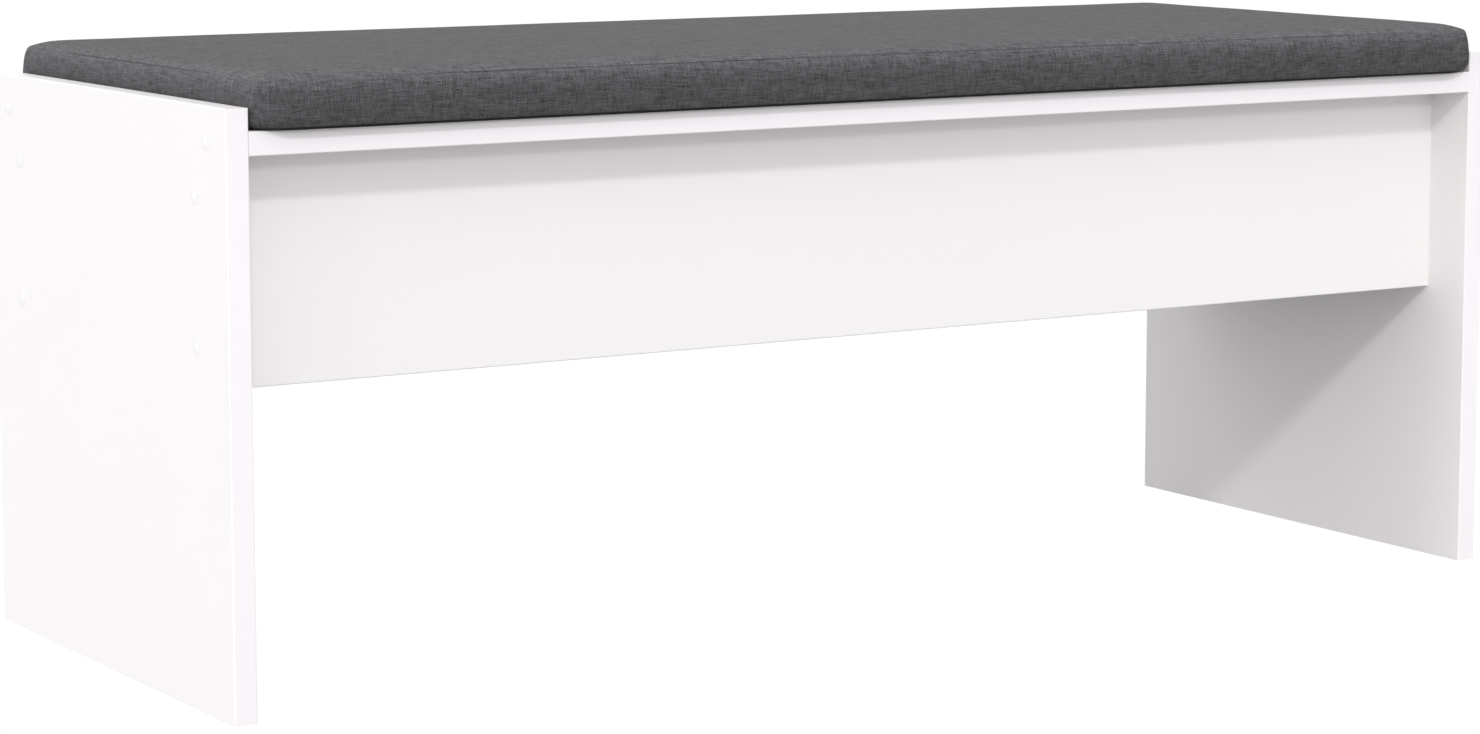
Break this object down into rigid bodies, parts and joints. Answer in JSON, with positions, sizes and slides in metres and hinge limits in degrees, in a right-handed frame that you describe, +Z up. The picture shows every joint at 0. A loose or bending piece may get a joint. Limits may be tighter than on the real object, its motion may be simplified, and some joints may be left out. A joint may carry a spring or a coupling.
{
  "type": "entry bench",
  "caption": "Low hallway bench of white boards with raised side panels, two aprons, shoe space beneath and a loose grey boxed cushion.",
  "frame": {"origin": "middle of the bench's footprint, cushion overhang included, on the floor", "axes": "+X along the length to the right as seen from the front, +Y to the back, +Z up"},
  "size_m": [1.202, 0.462, 0.4773],
  "materials": {
    "white_board": "satin white melamine on particleboard",
    "white_edging": "satin white plastic edging",
    "white_cap": "white plastic",
    "zinc_steel": "zinc plated",
    "beech": "raw beech",
    "foam": "open-cell foam",
    "grey_fabric": "dark grey flecked plain weave",
    "black_zip": "nylon zip tape and coil"
  },
  "bodies": {
    "bench": {"left_side_panel": "white_board", "right_side_panel": "white_board", "seat_board": "white_board", "front_apron": "white_board", "rear_apron": "white_board", "left_panel_edging": "white_edging", "right_panel_edging": "white_edging", "seat_edging": "white_edging", "front_apron_edging": "white_edging", "rear_apron_edging": "white_edging", "left_screws": "zinc_steel", "right_screws": "zinc_steel", "left_screw_caps": "white_cap", "right_screw_caps": "white_cap", "seat_end_dowels": "beech", "apron_end_dowels": "beech", "seat_to_apron_dowels": "beech"},
    "cushion": {"cushion_foam": "foam", "cushion_top_panel": "grey_fabric", "cushion_side_band": "grey_fabric", "cushion_bottom_panel": "grey_fabric", "cushion_zip": "black_zip", "cushion_zip_slider": "zinc_steel"}
  },
  "joints": [
    {"name": "cushion_lift", "type": "slide", "parent": "bench", "child": "cushion", "axis": [0, 0, 1], "range_m": [0, 0.08]}
  ]
}
